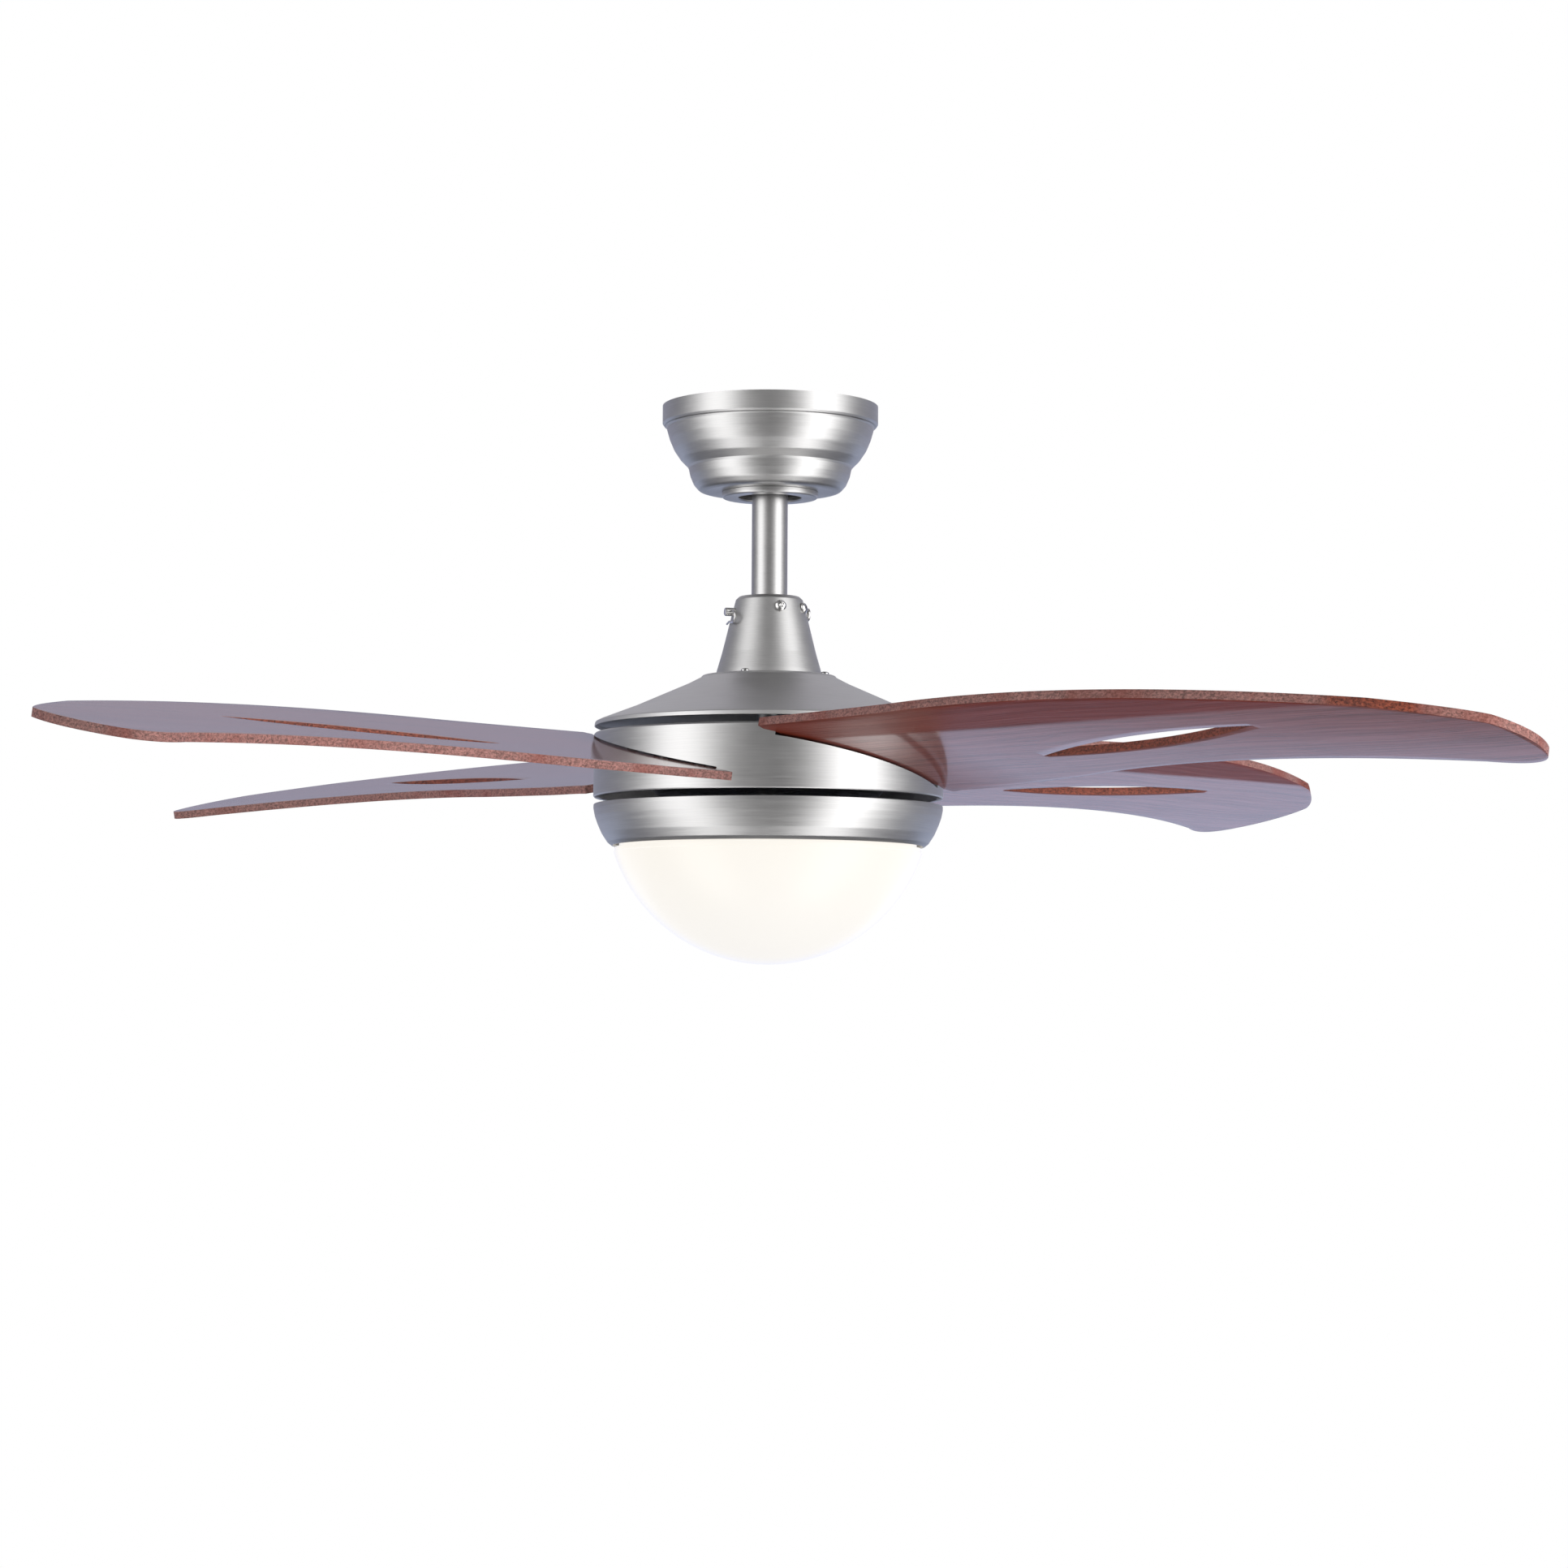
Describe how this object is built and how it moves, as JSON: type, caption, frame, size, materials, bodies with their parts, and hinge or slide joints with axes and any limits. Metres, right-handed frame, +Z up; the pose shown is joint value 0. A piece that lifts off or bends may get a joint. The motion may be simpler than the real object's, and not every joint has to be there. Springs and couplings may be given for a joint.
{
  "type": "ceiling fan with light",
  "caption": "Ceiling fan on a short downrod, with wide curved wooden blades set through a turning band and a bowl light below.",
  "frame": {"origin": "on the fan axis at the ceiling, on the top face of the hanger bracket", "axes": "+Z up along the fan axis, -Y towards the viewer, blades 0.3 degrees short of the 45 degree lines"},
  "size_m": [0.9836, 0.9836, 0.4089],
  "materials": {
    "nickel": "satin",
    "zinc_steel": "satin",
    "fastener": "polished",
    "casing": "satin",
    "liner_rubber": "matte",
    "ball_plastic": "matte",
    "white_plastic": "matte",
    "connector_plastic": "matte",
    "lamination": "satin",
    "copper": "satin",
    "cage_aluminium": "satin",
    "blade_wood": "satin lacquer",
    "reflector_white": "gloss",
    "bulb_glass": "frosted",
    "opal_glass": "opal, satin"
  },
  "bodies": {
    "ceiling_mount": {"hanger_bracket": "zinc_steel", "receiver_box": "white_plastic", "wire_connectors": "connector_plastic", "canopy": "nickel", "canopy_screws": "fastener", "canopy_ring": "nickel"},
    "liner": {"seat_liner": "liner_rubber"},
    "hanging": {"hanger_ball": "ball_plastic", "ball_pin": "fastener", "ball_setscrew": "fastener", "downrod": "nickel", "coupling": "nickel", "clevis_pin": "fastener", "hairpin_clip": "fastener", "coupling_screws": "fastener", "motor_adapter": "zinc_steel", "adapter_bolts": "fastener", "top_housing": "nickel", "flange_screws": "fastener", "capacitor": "ball_plastic", "motor_shaft": "zinc_steel", "bearings": "zinc_steel", "stator_core": "lamination", "stator_windings": "copper", "shaft_nut": "fastener", "light_plate": "zinc_steel", "light_pan": "nickel", "pan_screws": "fastener", "reflector": "reflector_white", "lamp_holders": "white_plastic", "bulbs": "bulb_glass", "glass_retainer": "nickel"},
    "rotor": {"rotor_upper": "casing", "rotor_lower": "casing", "rotor_cage": "cage_aluminium", "rotor_screws": "fastener", "blade_band": "nickel", "band_arms": "zinc_steel", "blade_iron_1": "casing", "blade_iron_2": "casing", "blade_iron_3": "casing", "blade_iron_4": "casing", "iron_screws": "fastener", "blade_1": "blade_wood", "blade_2": "blade_wood", "blade_3": "blade_wood", "blade_4": "blade_wood", "blade_screws": "fastener", "blade_washers": "liner_rubber"},
    "glass": {"glass_bowl": "opal_glass"}
  },
  "joints": [
    {"name": "hang_tilt_x", "type": "hinge", "parent": "ceiling_mount", "child": "liner", "pos_m": [0, 0, -0.036], "axis": [1, 0, 0], "range_deg": [-10, 10]},
    {"name": "hang_tilt_y", "type": "hinge", "parent": "liner", "child": "hanging", "pos_m": [0, 0, -0.036], "axis": [0, 1, 0], "range_deg": [-10, 10]},
    {"name": "fan_spin", "type": "hinge", "parent": "hanging", "child": "rotor", "pos_m": [0, 0, -0.2648], "axis": [0, 0, 1], "continuous": true},
    {"name": "glass_twist", "type": "hinge", "parent": "hanging", "child": "glass", "pos_m": [0, 0, -0.32], "axis": [0, 0, 1], "range_deg": [-30, 0]}
  ]
}
